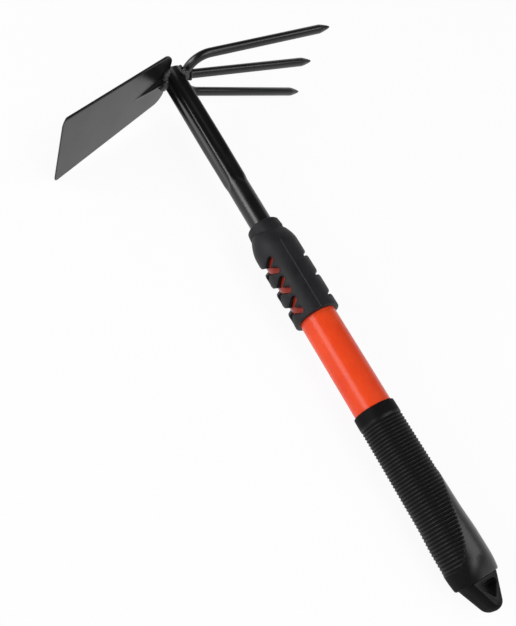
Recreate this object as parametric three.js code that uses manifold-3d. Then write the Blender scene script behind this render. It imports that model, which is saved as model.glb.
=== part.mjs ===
// Hand double hoe: a blade and three tines welded to a fluted steel tube, which is pressed into a
// moulded handle with a windowed soft collar, a ribbed soft grip and a hang loop.
import * as THREE from "three";
import { mergeVertices } from "three/addons/utils/BufferGeometryUtils.js";
import Module from "manifold-3d";

// All lengths are in millimetres. The tool is drawn upright on its butt: +Z runs up the shaft to
// the head, the tines point to +X and the blade to -X. At the end it is laid on its side.

// Lengths up the tool, from the butt
const loopLength = 16.6;
const gripLength = 103.1;
const bareCoreLength = 63.8;
const collarLength = 69;
const bareShaftLength = 136;

// Clearance between pieces that seat on each other, and overrun of every cut
const seatGap = 0.3;
const cutOverrun = 6;

// Steel tube of the shaft, pressed into four flutes from the head down
const shaftDiameter = 14.65;
const shaftWall = 1.2;
const shaftInsertion = 116;
const flutedDiameter = 14.4;
const flutedLength = 98;
const fluteRunOut = 6;
const fluteFullLength = 60;
const fluteStartShare = 0.09;
const fluteFullShare = 0.13;
const shaftDomeRise = 1.2;

// Blade, cut from sheet, with a rib pressed toward the handle
const bladeLength = 109;
const bladeThickness = 1.8;
const bladeEdgeWidth = 53;
const bladeRootWidth = 41.2;
const bladeRootRadius = 9;
const bladeTipRadius = 2.6;
const bladeDroopDegrees = 26.8;
const bladeBelowTop = 3.1;
const bladeRootOffset = 3;
const bevelLength = 5;
const bevelEdgeThickness = 0.6;
const ribLength = 36;
const ribRootWidth = 10;
const ribTipWidth = 4;
const ribHeight = 2;

// Tines, all cut from one round rod: a bent bow makes the outer pair
const rodDiameter = 6.36;
const bowRadius = 18;
const outerTineReach = 121.5;
const middleTineReach = 119.1;
const tineSpreadDegrees = 8.2;
const tineDroopDegrees = 1.15;
const tinesBelowTop = 2.35;
const tinePointLength = 8.5;
const tinePointDiameter = 1.8;

// Weld beads
const bladeBeadDiameter = 4.8;
const bowBeadDiameter = 4.8;
const topBeadDiameter = 3.2;
const middleBeadDiameter = 3.6;
const beadRippleHeight = 0.25;
const beadRipplePitch = 2.6;
const beadOverlapShare = 0.5;
const bladeBeadSpreadDegrees = 124;
const bowBeadSpreadDegrees = 116;
const bowBeadDrop = 2.6;
const topBeadSpreadDegrees = 76;

// Moulded core of the handle
const coreDiameter = 23;
const coreGripDiameter = 21.4;
const coreNoseDiameter = 17.6;
const coreNoseLength = 8;
const coreTaperLength = 9;
const coreRearSetback = 10;

// Soft collar over the front of the core
const collarDiameter = 28.5;
const collarNeckDiameter = 22.4;
const collarMouthDiameter = 21.2;
const collarLip = 2.2;
const collarNeckLength = 5.5;
const collarShoulderLength = 12;
const collarArchDrop = 3.6;
const collarEndRounding = 0.6;

// Crossed windows through the collar on the blade side, plain notches on the tine side
const windowRows = 3;
const windowPitch = 14.8;
const windowSetback = 29.5;
const windowSlotWidth = 2;
const windowSpread = 7;
const windowRise = 3.9;
const notchWidth = 2.9;
const notchDepth = 1.4;
const notchHalfAngleDegrees = 42;

// Soft rear grip: round at the front, swollen near the butt, flattened at its end
const gripFrontDiameter = 25.4;
const gripWaistDiameter = 26.5;
const gripWaistSetback = 39;
const gripBellyWidth = 28.6;
const gripBellyDepth = 26.8;
const gripBellyStart = 12.4;
const gripBellyEnd = 20;
const gripEndWidth = 27;
const gripEndDepth = 17;
const gripRimRounding = 1.1;

// Ribs round the grip, which give way to a smooth field on the tine side near the butt
const ribPitch = 2;
const ribDepth = 0.7;
const ribsFrontSetback = 6.7;
const ribsRearSetback = 9;
const smoothFieldLength = 53;
const tongueHalfAngleDegrees = 118;
const tonguePower = 0.27;
const apexPower = 6;
const ribEndFadeDegrees = 10;

// End piece: a flat-sided eye with the hang hole, and a spigot pressed into the core
const loopWidth = 21.3;
const loopDepth = 15.4;
const loopNoseRadius = 4.2;
const loopRounding = 3.1;
const spigotDiameter = 12;
const spigotLength = 22;
const spigotChamfer = 1;
const hangHoleSetback = 2;
const hangHoleHeight = 8;
const hangHoleWidth = 8.8;
const hangHoleTipRadius = 1.1;
const hangHoleCornerRadius = 1.6;

// Fineness of the meshes
const sleeveSides = 36;
const gripSides = 28;
const shaftSides = 32;
const rodSides = 12;
const beadSides = 8;
const bowSteps = 20;
const arcSteps = 6;
const mergeTolerance = 1e-4;
const settlingPasses = 4;

// Heights that follow from the lengths
const gripRear = loopLength;
const gripFront = gripRear + gripLength;
const collarRear = gripFront + bareCoreLength;
const collarFront = collarRear + collarLength;
const shaftTop = collarFront + bareShaftLength;
const shaftBottom = collarFront - shaftInsertion;
const coreRear = gripRear + coreRearSetback;
const coreFront = collarFront - collarLip - seatGap;

const degrees = Math.PI / 180;
const { lerp, smoothstep } = THREE.MathUtils;

const finishes = {
  paint: { color: 0x0d0d0e, roughness: 0.3, metalness: 0.1 },
  weld: { color: 0x161618, roughness: 0.45, metalness: 0.1 },
  orange: { color: 0xdc482a, roughness: 0.32, metalness: 0 },
  charcoal: { color: 0x2e2e30, roughness: 0.75, metalness: 0 },
  rubber: { color: 0x131314, roughness: 0.7, metalness: 0 },
  nylon: { color: 0x161617, roughness: 0.5, metalness: 0 },
};

function piece(name, finish, geometry) {
  const mesh = new THREE.Mesh(geometry, new THREE.MeshStandardMaterial(finishes[finish]));
  mesh.name = name;
  return mesh;
}

// Closed solids from rings of points

function facesOut(points, triangles) {
  let volume = 0;
  for (let t = 0; t < triangles.length; t += 3) {
    const [a, b, c] = triangles.slice(t, t + 3).map((index) => points[index]);
    volume += a.dot(b.clone().cross(c));
  }
  return volume > 0;
}

function geometryFrom(points, triangles) {
  const geometry = new THREE.BufferGeometry();
  const positions = points.flatMap((point) => [point.x, point.y, point.z]);
  geometry.setAttribute("position", new THREE.Float32BufferAttribute(positions, 3));
  geometry.setIndex(facesOut(points, triangles) ? triangles : triangles.reverse());
  return geometry;
}

function middleOf(ring) {
  const sum = ring.reduce((total, point) => total.add(point), new THREE.Vector3());
  return sum.divideScalar(ring.length);
}

// Each ring is joined to the next. An open stack is capped from the middle of its end rings, and
// a looped one, such as a sleeve with its bore, closes back onto its first ring.
function skin(rings, looped = false) {
  const sides = rings[0].length;
  const points = rings.flat();
  const triangles = [];
  const links = looped ? rings.length : rings.length - 1;
  for (let r = 0; r < links; r += 1) {
    const low = r * sides;
    const high = ((r + 1) % rings.length) * sides;
    for (let i = 0; i < sides; i += 1) {
      const j = (i + 1) % sides;
      triangles.push(low + i, low + j, high + j, low + i, high + j, high + i);
    }
  }
  if (!looped) {
    const last = (rings.length - 1) * sides;
    const lowCap = points.push(middleOf(rings[0])) - 1;
    const highCap = points.push(middleOf(rings[rings.length - 1])) - 1;
    for (let i = 0; i < sides; i += 1) {
      const j = (i + 1) % sides;
      triangles.push(lowCap, j, i, highCap, last + i, last + j);
    }
  }
  return geometryFrom(points, triangles);
}

// A level ring whose radius may vary with its angle
function ringAt(z, sides, radiusAt) {
  return Array.from({ length: sides }, (_, i) => {
    const angle = (i / sides) * 2 * Math.PI;
    const radius = radiusAt(angle);
    return new THREE.Vector3(radius * Math.cos(angle), radius * Math.sin(angle), z);
  });
}

function round(diameter) {
  return () => diameter / 2;
}

// A sheet is a row of stations, each with matching points on its outer and its inner face
function sheetSkin(stations) {
  const across = stations[0].outer.length;
  const points = stations.flatMap((station) => [...station.outer, ...station.inner]);
  const triangles = [];
  const face = (a, b, c, d) => triangles.push(a, b, c, a, c, d);
  const outer = (s, i) => 2 * s * across + i;
  const inner = (s, i) => (2 * s + 1) * across + i;
  const end = stations.length - 1;
  const rim = across - 1;
  for (let s = 0; s < end; s += 1) {
    for (let i = 0; i < rim; i += 1) {
      face(outer(s, i), outer(s + 1, i), outer(s + 1, i + 1), outer(s, i + 1));
      face(inner(s, i), inner(s, i + 1), inner(s + 1, i + 1), inner(s + 1, i));
    }
    face(outer(s, 0), inner(s, 0), inner(s + 1, 0), outer(s + 1, 0));
    face(outer(s, rim), outer(s + 1, rim), inner(s + 1, rim), inner(s, rim));
  }
  for (let i = 0; i < rim; i += 1) {
    face(outer(0, i), outer(0, i + 1), inner(0, i + 1), inner(0, i));
    face(outer(end, i), inner(end, i), inner(end, i + 1), outer(end, i + 1));
  }
  return geometryFrom(points, triangles);
}

// The outline that a band takes when it is stretched round circles, given anticlockwise
function bandShape(circles) {
  const shape = new THREE.Shape();
  const count = circles.length;
  const normals = circles.map((circle, i) => {
    const next = circles[(i + 1) % count];
    const run = new THREE.Vector2(next.x - circle.x, next.y - circle.y);
    const lean = (circle.radius - next.radius) / run.length();
    return run.angle() - Math.acos(lean);
  });
  circles.forEach((circle, i) => {
    const from = normals[(i + count - 1) % count];
    shape.absarc(circle.x, circle.y, circle.radius, from, normals[i], false);
  });
  shape.closePath();
  return shape;
}

// Joins and cuts

const wasm = await Module();
wasm.setup();

// Triangles that merging has folded to a line are left out
function toSolid(geometry) {
  const bare = geometry.clone();
  bare.deleteAttribute("normal");
  bare.deleteAttribute("uv");
  const merged = mergeVertices(bare, mergeTolerance);
  const index = merged.index.array;
  const triangles = [];
  for (let t = 0; t < index.length; t += 3) {
    const [a, b, c] = index.slice(t, t + 3);
    if (a !== b && b !== c && c !== a) triangles.push(a, b, c);
  }
  return new wasm.Manifold(new wasm.Mesh({
    numProp: 3,
    vertProperties: new Float32Array(merged.attributes.position.array),
    triVerts: new Uint32Array(triangles),
  }));
}

function toGeometry(solid) {
  const mesh = solid.getMesh();
  const geometry = new THREE.BufferGeometry();
  geometry.setAttribute("position", new THREE.Float32BufferAttribute(mesh.vertProperties, 3));
  geometry.setIndex(Array.from(mesh.triVerts));
  return geometry;
}

function cut(geometry, cutters) {
  return toGeometry(cutters.reduce((body, cutter) => body.subtract(toSolid(cutter)), toSolid(geometry)));
}

function join(geometries) {
  const [first, ...rest] = geometries.map(toSolid);
  return toGeometry(rest.reduce((body, other) => body.add(other), first));
}

// Shaft: a round tube whose upper stretch is pressed in on four sides, with a domed closed end

const flutesStart = shaftTop - flutedLength;
const flutesFull = shaftTop - fluteFullLength;
const domeShares = [[0.86, 0.5], [0.6, 0.84], [0.25, 1]];
const runOutShares = [0, 0.25, 0.5, 0.75, 1];
const fluteGrowthShares = [0.33, 0.67, 1];

function shaftRadiusAt(z, angle) {
  const pressed = smoothstep(z, flutesStart - fluteRunOut, flutesStart);
  const share = pressed * lerp(fluteStartShare, fluteFullShare, smoothstep(z, flutesStart, flutesFull));
  const mean = lerp(shaftDiameter, flutedDiameter, pressed) / 2;
  return mean * (1 - share * Math.cos(4 * angle));
}

function shaftRing(z, grow, share = 1) {
  return ringAt(z, shaftSides, (angle) => (shaftRadiusAt(z, angle) + grow) * share);
}

const shaftHeights = [
  shaftBottom,
  ...runOutShares.map((share) => flutesStart - fluteRunOut * (1 - share)),
  ...fluteGrowthShares.map((share) => lerp(flutesStart, flutesFull, share)),
];

function shaftOutside(grow) {
  const wall = [...shaftHeights, shaftTop].map((z) => shaftRing(z, grow));
  const dome = domeShares.map(([wide, high]) => shaftRing(shaftTop + shaftDomeRise * high + grow, grow, wide));
  return [...wall, ...dome];
}

function makeShaft() {
  const inside = [...shaftHeights, shaftTop - shaftWall].map((z) => shaftRing(z, -shaftWall));
  return piece("shaft_tube", "paint", skin([...inside.reverse(), ...shaftOutside(0)]));
}

// Blade: drawn in its own frame, with X from its root to its cutting edge, Y across it and Z out
// of the face that looks away from the handle

const bladeDroop = bladeDroopDegrees * degrees;
const bladeSeat = new THREE.Group();
bladeSeat.position.set(-bladeRootOffset, 0, shaftTop - bladeBelowTop);
bladeSeat.rotation.set(0, bladeDroop, Math.PI, "ZYX");
bladeSeat.updateMatrix();

const cornerShares = [0, 0.07, 0.25, 0.55, 1];
const ribRunShares = [0.5, 0.7, 0.85, 1];
const ribFlankShares = [0, 0.35, 0.7, 1];

function cornerLoss(radius, distance) {
  const inside = Math.max(radius - distance, 0);
  return radius - Math.sqrt(radius ** 2 - inside ** 2);
}

function bladeHalfWidthAt(x) {
  const straight = lerp(bladeRootWidth, bladeEdgeWidth, x / bladeLength) / 2;
  return straight - cornerLoss(bladeRootRadius, x) - cornerLoss(bladeTipRadius, bladeLength - x);
}

function ribHalfWidthAt(x) {
  return lerp(ribRootWidth, ribTipWidth, Math.min(x / ribLength, 1)) / 2;
}

function ribRiseAt(x, y) {
  const along = Math.cos((Math.min(x / ribLength, 1) * Math.PI) / 2);
  return ribHeight * along * (1 - smoothstep(Math.abs(y), 0, ribHalfWidthAt(x)));
}

function bladeStation(x, grow) {
  const half = bladeHalfWidthAt(x) + grow;
  const right = [...ribFlankShares.map((share) => share * ribHalfWidthAt(x)), half];
  const across = [...right.slice(1).map((y) => -y).reverse(), ...right];
  const ground = smoothstep(x, bladeLength - bevelLength, bladeLength);
  const thickness = lerp(bladeThickness, bevelEdgeThickness, ground);
  const along = lerp(-grow, bladeLength + grow, x / bladeLength);
  return {
    outer: across.map((y) => new THREE.Vector3(along, y, thickness + grow - ribRiseAt(x, y))),
    inner: across.map((y) => new THREE.Vector3(along, y, -grow - ribRiseAt(x, y))),
  };
}

function bladeSheet(grow) {
  const rootCorner = cornerShares.map((share) => share * bladeRootRadius);
  const ribRun = ribRunShares.map((share) => share * ribLength);
  const tipCorner = cornerShares.map((share) => bladeLength - share * bladeTipRadius).reverse();
  const stations = [...rootCorner, ...ribRun, bladeLength - bevelLength, ...tipCorner];
  return sheetSkin(stations.map((x) => bladeStation(x, grow)));
}

function makeBlade() {
  const notch = skin(shaftOutside(seatGap)).applyMatrix4(bladeSeat.matrix.clone().invert());
  return piece("hoe_blade", "paint", cut(bladeSheet(0), [notch]));
}

// Tines: drawn in the plane of the bow, with the origin on the shaft's axis

const tineSpread = tineSpreadDegrees * degrees;
const tineSeat = new THREE.Group();
tineSeat.position.set(0, 0, shaftTop - tinesBelowTop);
tineSeat.rotation.set(0, tineDroopDegrees * degrees, 0);
tineSeat.updateMatrix();

const shaftFaceReach = Math.max(...shaftRing(tineSeat.position.z, 0).map((point) => point.x));
const bowRootX = shaftFaceReach + seatGap + rodDiameter / 2;
const bowCentreX = bowRootX + bowRadius;
const pointShares = [[0, 1], [0.3, 0.86], [0.8, 0.38], [0.95, 0.12], [1, 0]];

// A ring of a rod that lies in the plane of the bow, square to its heading
function rodRing(x, y, heading, radius) {
  const aside = new THREE.Vector3(-Math.sin(heading), Math.cos(heading), 0);
  return Array.from({ length: rodSides }, (_, i) => {
    const angle = (i / rodSides) * 2 * Math.PI;
    const point = new THREE.Vector3(x, y, radius * Math.sin(angle));
    return point.addScaledVector(aside, radius * Math.cos(angle));
  });
}

// The ground point of a tine, from the full rod to a small blunt end
function pointRings(tipX, tipY, heading, grow) {
  return pointShares.map(([along, share]) => {
    const back = tinePointLength * (1 - along);
    const radius = lerp(tinePointDiameter, rodDiameter, share) / 2 + grow;
    return rodRing(tipX - back * Math.cos(heading), tipY - back * Math.sin(heading), heading, radius);
  });
}

// The same ring as seen by a rod that runs the other way
function turnedAbout(ring) {
  return ring.map((_, i) => ring[(ring.length / 2 - i + ring.length) % ring.length]);
}

function tineBow(grow) {
  const sweep = Math.PI / 2 - tineSpread;
  const radius = rodDiameter / 2 + grow;
  const bend = Array.from({ length: bowSteps + 1 }, (_, i) => {
    const turn = ((2 * i) / bowSteps - 1) * sweep;
    const x = bowCentreX - bowRadius * Math.cos(turn);
    return rodRing(x, bowRadius * Math.sin(turn), Math.PI / 2 - turn, radius);
  });
  const bendEndX = bowCentreX - bowRadius * Math.cos(sweep);
  const tipY = bowRadius * Math.sin(sweep) + (outerTineReach - bendEndX) * Math.tan(tineSpread);
  const farPoint = pointRings(outerTineReach, tipY, tineSpread, grow);
  const nearPoint = pointRings(outerTineReach, -tipY, -tineSpread, grow);
  return skin([...nearPoint.reverse().map(turnedAbout), ...bend, ...farPoint]);
}

function middleRod(grow) {
  return skin([rodRing(bowRootX, 0, 0, rodDiameter / 2 + grow), ...pointRings(middleTineReach, 0, 0, grow)]);
}

function makeOuterTines() {
  return piece("outer_tine_bow", "paint", tineBow(0));
}

function makeMiddleTine() {
  return piece("middle_tine", "paint", cut(middleRod(0), [tineBow(seatGap)]));
}

// Weld beads: rippled cords laid in a corner, trimmed by the pieces that they join

const beadEndShare = 0.45;
const beadEndPower = 4;
const stepsPerRipple = 3;
const beadPathPoints = 9;

function bead(curve, diameter) {
  const ripples = Math.max(Math.round(curve.getLength() / beadRipplePitch), 1);
  const steps = ripples * stepsPerRipple;
  const frames = curve.computeFrenetFrames(steps, curve.closed);
  const count = curve.closed ? steps : steps + 1;
  const rings = Array.from({ length: count }, (_, s) => {
    const along = s / steps;
    const ripple = beadRippleHeight * Math.cos(along * ripples * 2 * Math.PI);
    const ending = curve.closed ? 0 : (1 - beadEndShare) * Math.abs(2 * along - 1) ** beadEndPower;
    const radius = (diameter / 2 + ripple) * (1 - ending);
    const centre = curve.getPointAt(along);
    return Array.from({ length: beadSides }, (__, i) => {
      const angle = (i / beadSides) * 2 * Math.PI;
      const point = centre.clone().addScaledVector(frames.normals[s], radius * Math.cos(angle));
      return point.addScaledVector(frames.binormals[s], radius * Math.sin(angle));
    });
  });
  return skin(rings, curve.closed);
}

// How far the middle of a bead stands out of the faces that it joins
function standOffOf(diameter) {
  return (diameter / 2) * (1 - beadOverlapShare);
}

function pathRoundShaft(middleAngle, spread, standOff, heightAt) {
  const points = Array.from({ length: beadPathPoints }, (_, i) => {
    const swing = (2 * i) / (beadPathPoints - 1) - 1;
    const angle = middleAngle + (swing * spread) / 2;
    const radius = shaftRadiusAt(shaftTop, angle) + standOff;
    const point = new THREE.Vector3(radius * Math.cos(angle), radius * Math.sin(angle), 0);
    return point.setZ(heightAt(point, swing));
  });
  return new THREE.CatmullRomCurve3(points, false);
}

// The beads on the two sides of the blade follow its sheet, pressed rib included
function makeBladeWeld(name, offset) {
  const heightAt = (point) => {
    const rise = (point.x - bladeSeat.position.x) * Math.tan(bladeDroop);
    const along = (bladeSeat.position.x - point.x) / Math.cos(bladeDroop);
    const lift = offset - ribRiseAt(Math.max(along, 0), point.y);
    return bladeSeat.position.z + rise + lift / Math.cos(bladeDroop);
  };
  const spread = bladeBeadSpreadDegrees * degrees;
  const path = pathRoundShaft(Math.PI, spread, standOffOf(bladeBeadDiameter), heightAt);
  const sheet = bladeSheet(seatGap).applyMatrix4(bladeSeat.matrix);
  return piece(name, "weld", cut(bead(path, bladeBeadDiameter), [skin(shaftOutside(seatGap)), sheet]));
}

// The beads on the bow lie in the valley between the rod and the shaft, above and below it
function makeBowWeld(name, side, diameter, spreadDegrees, drop) {
  const standOff = standOffOf(diameter);
  const reach = rodDiameter / 2 + standOff;
  const inset = rodDiameter / 2 - standOff;
  const offset = Math.sqrt(reach ** 2 - inset ** 2);
  const heightAt = (point, swing) => tineSeat.position.z + side * offset - drop * swing ** 2;
  const path = pathRoundShaft(0, spreadDegrees * degrees, standOff, heightAt);
  const bow = tineBow(seatGap).applyMatrix4(tineSeat.matrix);
  return piece(name, "weld", cut(bead(path, diameter), [skin(shaftOutside(seatGap)), bow]));
}

// A ring of weld round the middle tine, where it butts on the inside of the bow
function makeMiddleWeld() {
  const standOff = standOffOf(middleBeadDiameter);
  const x = bowRootX + rodDiameter / 2 + seatGap + standOff;
  const reach = rodDiameter / 2 + standOff;
  const ring = Array.from({ length: rodSides }, (_, i) => {
    const angle = (i / rodSides) * 2 * Math.PI;
    return new THREE.Vector3(x, reach * Math.cos(angle), reach * Math.sin(angle));
  });
  const path = new THREE.CatmullRomCurve3(ring, true);
  const body = cut(bead(path, middleBeadDiameter), [tineBow(seatGap), middleRod(seatGap)]);
  return piece("middle_tine_weld", "weld", body);
}

// Handle core: a moulded sleeve, bored for the shaft in front and for the spigot behind

const shaftBore = shaftDiameter + 2 * seatGap;
const spigotBore = spigotDiameter + 2 * seatGap;
const noseBase = coreFront - coreNoseLength;
const taperBase = noseBase - coreTaperLength;

function revolve(profile) {
  const points = profile.map(([diameter, z]) => new THREE.Vector2(diameter / 2, z));
  return new THREE.LatheGeometry(points, sleeveSides).rotateX(Math.PI / 2);
}

function makeCore() {
  const stop = shaftBottom - seatGap;
  const profile = [
    [spigotBore, coreRear],
    [coreGripDiameter, coreRear],
    [coreGripDiameter, gripFront + seatGap],
    [coreDiameter, gripFront + seatGap],
    [coreDiameter, taperBase],
    [coreNoseDiameter, noseBase],
    [coreNoseDiameter, coreFront],
    [shaftBore, coreFront],
    [shaftBore, stop],
    [spigotBore, stop],
    [spigotBore, coreRear],
  ];
  return piece("handle_core", "orange", revolve(profile));
}

// Front collar: its shoulder climbs in an arch on the blade side and on the tine side

const shoulderShares = [0, 0.15, 0.3, 0.45, 0.62, 0.8, 1];

function collarRadiusAt(z, angle) {
  const shoulderTop = collarFront - collarNeckLength - collarArchDrop * Math.sin(angle) ** 2;
  const down = Math.min(Math.max((shoulderTop - z) / collarShoulderLength, 0), 1);
  const neckRun = Math.min((collarFront - z) / collarNeckLength, 1);
  const neck = lerp(collarMouthDiameter, collarNeckDiameter, neckRun) / 2;
  return lerp(neck, collarDiameter / 2, Math.sin((down * Math.PI) / 2));
}

function collarBody() {
  const shoulder = collarShoulderLength + collarArchDrop;
  const neckBase = collarFront - collarNeckLength;
  const heights = [
    collarRear + collarEndRounding,
    ...shoulderShares.map((share) => neckBase - shoulder * (1 - share)),
    collarFront,
  ];
  const outside = heights.map((z) => ringAt(z, sleeveSides, (angle) => collarRadiusAt(z, angle)));
  const bore = [
    [shaftBore, collarFront],
    [shaftBore, collarFront - collarLip],
    [coreNoseDiameter + 2 * seatGap, collarFront - collarLip],
    [coreNoseDiameter + 2 * seatGap, noseBase],
    [coreDiameter + 2 * seatGap, taperBase],
    [coreDiameter + 2 * seatGap, collarRear],
    [collarDiameter - 2 * collarEndRounding, collarRear],
  ];
  const inside = bore.map(([diameter, z]) => ringAt(z, sleeveSides, round(diameter)));
  return skin([...outside, ...inside], true);
}

// One arm of a crossed window: a slot cut in from the blade side, leaning one way or the other
function windowArm(z, lean) {
  const radius = windowSlotWidth / 2;
  const arm = bandShape([
    { x: windowSpread, y: z + lean * windowRise, radius },
    { x: -windowSpread, y: z - lean * windowRise, radius },
  ]);
  const reach = collarDiameter / 2 + cutOverrun;
  const slot = new THREE.ExtrudeGeometry(arm, { depth: reach, bevelEnabled: false, curveSegments: arcSteps });
  return slot.rotateX(Math.PI / 2).rotateZ(Math.PI / 2).translate(-reach, 0, 0);
}

function notch(z) {
  const inner = collarDiameter / 2 - notchDepth;
  const outer = collarDiameter / 2 + cutOverrun;
  const half = notchHalfAngleDegrees * degrees;
  const sector = new THREE.Shape();
  sector.absarc(0, 0, outer, -half, half, false);
  sector.absarc(0, 0, inner, half, -half, true);
  const options = { depth: notchWidth, bevelEnabled: false, curveSegments: arcSteps };
  return new THREE.ExtrudeGeometry(sector, options).translate(0, 0, z - notchWidth / 2);
}

function makeCollar() {
  const rows = Array.from({ length: windowRows }, (_, i) => collarFront - windowSetback - i * windowPitch);
  const cutters = rows.flatMap((z) => [windowArm(z, 1), windowArm(z, -1), notch(z)]);
  return piece("front_collar", "charcoal", cut(collarBody(), cutters));
}

// Rear grip

const bellyLow = gripRear + gripBellyStart;
const bellyHigh = gripRear + gripBellyEnd;
const waist = gripRear + gripWaistSetback;
const ribsRear = gripRear + ribsRearSetback;
const ribsFront = gripFront - ribsFrontSetback;
const endSquarenessShare = 0.8;
const rimShares = [[0, 1], [0.3, 0.3], [1, 0]];
const tailShares = [0.5, 1];

function gripSizeAt(z) {
  if (z < bellyLow) {
    const swell = Math.sin(((z - gripRear) / gripBellyStart) * (Math.PI / 2));
    const power = 2 + endSquarenessShare * (1 - swell);
    const depth = lerp(gripEndDepth, gripBellyDepth, swell);
    return { width: lerp(gripEndWidth, gripBellyWidth, swell), depth, power };
  }
  if (z < waist) {
    const ease = smoothstep(z, bellyHigh, waist);
    const depth = lerp(gripBellyDepth, gripWaistDiameter, ease);
    return { width: lerp(gripBellyWidth, gripWaistDiameter, ease), depth, power: 2 };
  }
  const diameter = lerp(gripWaistDiameter, gripFrontDiameter, (z - waist) / (gripFront - waist));
  return { width: diameter, depth: diameter, power: 2 };
}

function gripRadiusAt(z, angle) {
  const { width, depth, power } = gripSizeAt(z);
  const across = Math.abs((2 * Math.cos(angle)) / width) ** power;
  const through = Math.abs((2 * Math.sin(angle)) / depth) ** power;
  return (across + through) ** (-1 / power);
}

// Ribs run all round the front of the grip. Toward the butt they draw in to a tongue on the
// blade side, whose half angle falls to nothing at the rearmost rib.
function grooveDepthAt(z, angle) {
  const share = Math.min(Math.max((z - ribsRear) / smoothFieldLength, 0), 1);
  const apexAngle = 180 - tongueHalfAngleDegrees;
  const halfAngle = tongueHalfAngleDegrees * share ** tonguePower + apexAngle * share ** apexPower;
  const fromSpine = Math.abs(angle / degrees - 180);
  const fade = share < 1 ? smoothstep(fromSpine, halfAngle - ribEndFadeDegrees, halfAngle) : 0;
  return ribDepth * (1 - fade);
}

function makeGrip() {
  const rim = rimShares.map(([up, inward]) => {
    const z = gripRear + gripRimRounding * up;
    return ringAt(z, gripSides, (angle) => gripRadiusAt(z, angle) - gripRimRounding * inward);
  });
  const tail = tailShares.map((share) => {
    const z = lerp(gripRear + gripRimRounding, ribsRear, share);
    return ringAt(z, gripSides, (angle) => gripRadiusAt(z, angle));
  });
  const ribCount = Math.floor((ribsFront - ribsRear) / ribPitch);
  const ribs = Array.from({ length: ribCount }, (_, i) => {
    const groove = ribsRear + (i + 1 / 2) * ribPitch;
    const crest = ribsRear + (i + 1) * ribPitch;
    return [
      ringAt(groove, gripSides, (angle) => gripRadiusAt(groove, angle) - grooveDepthAt(groove, angle)),
      ringAt(crest, gripSides, (angle) => gripRadiusAt(crest, angle)),
    ];
  });
  const front = ringAt(gripFront, gripSides, round(gripFrontDiameter));
  const bore = [
    [coreGripDiameter + 2 * seatGap, gripFront],
    [coreGripDiameter + 2 * seatGap, coreRear - seatGap],
    [spigotBore, coreRear - seatGap],
    [spigotBore, gripRear],
  ];
  const inside = bore.map(([diameter, z]) => ringAt(z, gripSides, round(diameter)));
  return piece("rear_grip", "rubber", skin([...rim, ...tail, ...ribs.flat(), front, ...inside], true));
}

// End piece

const loopTop = loopLength - seatGap;
const hangHoleTop = loopLength - hangHoleSetback;
const eyeBevelSteps = 3;

// The sides of the eye run tangent from its nose to its full width at the grip. It is drawn past
// its top and trimmed there.
function makeEye() {
  const overTop = loopLength + loopNoseRadius + cutOverrun;
  const climb = loopLength - loopNoseRadius;
  const shoulder = new THREE.Vector2(loopWidth / 2, climb);
  const flare = Math.atan2(shoulder.x, shoulder.y) - Math.asin(loopNoseRadius / shoulder.length());
  const spread = (overTop - loopNoseRadius) * Math.tan(flare);
  const radius = loopNoseRadius - loopRounding;
  const outline = bandShape([
    { x: 0, y: loopNoseRadius, radius },
    { x: spread, y: overTop, radius },
    { x: -spread, y: overTop, radius },
  ]);
  const eye = new THREE.ExtrudeGeometry(outline, {
    depth: loopDepth - 2 * loopRounding,
    bevelThickness: loopRounding,
    bevelSize: loopRounding,
    bevelSegments: eyeBevelSteps,
    curveSegments: arcSteps,
  });
  eye.translate(0, 0, loopRounding - loopDepth / 2).rotateX(Math.PI / 2);
  const trimHeight = overTop + loopNoseRadius + cutOverrun - loopTop;
  const trimWidth = 2 * (spread + loopNoseRadius + cutOverrun);
  const trim = new THREE.BoxGeometry(trimWidth, loopDepth + 2 * cutOverrun, trimHeight);
  return cut(eye, [trim.translate(0, 0, loopTop + trimHeight / 2), makeHangHole()]);
}

function makeHangHole() {
  const cornerX = hangHoleWidth / 2 - hangHoleCornerRadius;
  const cornerY = hangHoleTop - hangHoleCornerRadius;
  const outline = bandShape([
    { x: 0, y: hangHoleTop - hangHoleHeight + hangHoleTipRadius, radius: hangHoleTipRadius },
    { x: cornerX, y: cornerY, radius: hangHoleCornerRadius },
    { x: -cornerX, y: cornerY, radius: hangHoleCornerRadius },
  ]);
  const depth = loopDepth + 2 * cutOverrun;
  const hole = new THREE.ExtrudeGeometry(outline, { depth, bevelEnabled: false, curveSegments: arcSteps });
  return hole.translate(0, 0, -depth / 2).rotateX(Math.PI / 2);
}

function makeEndLoop() {
  const root = (loopTop + hangHoleTop) / 2;
  const end = coreRear + spigotLength;
  const spigot = revolve([
    [0, root],
    [spigotDiameter, root],
    [spigotDiameter, end - spigotChamfer],
    [spigotDiameter - 2 * spigotChamfer, end],
    [0, end],
  ]);
  return piece("end_loop", "nylon", join([makeEye(), spigot]));
}

// Assembly

const tool = new THREE.Group();
const blade = makeBlade();
const outerTines = makeOuterTines();
const grip = makeGrip();
const bladeBeadOffset = standOffOf(bladeBeadDiameter);
bladeSeat.add(blade);
tineSeat.add(outerTines, makeMiddleTine(), makeMiddleWeld());
tool.add(bladeSeat, tineSeat, makeShaft(), makeCore(), makeCollar(), grip, makeEndLoop());
tool.add(makeBladeWeld("blade_weld_under", -bladeBeadOffset));
tool.add(makeBladeWeld("blade_weld_over", bladeThickness + bladeBeadOffset));
tool.add(makeBowWeld("bow_weld_under", -1, bowBeadDiameter, bowBeadSpreadDegrees, bowBeadDrop));
tool.add(makeBowWeld("bow_weld_over", 1, topBeadDiameter, topBeadSpreadDegrees, 0));

// Put down, the tool lies on three feet: the tip of one outer tine, a corner of the blade and the
// swell of the grip. It is levelled on them in a few passes, with its shaft along +Y.

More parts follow.
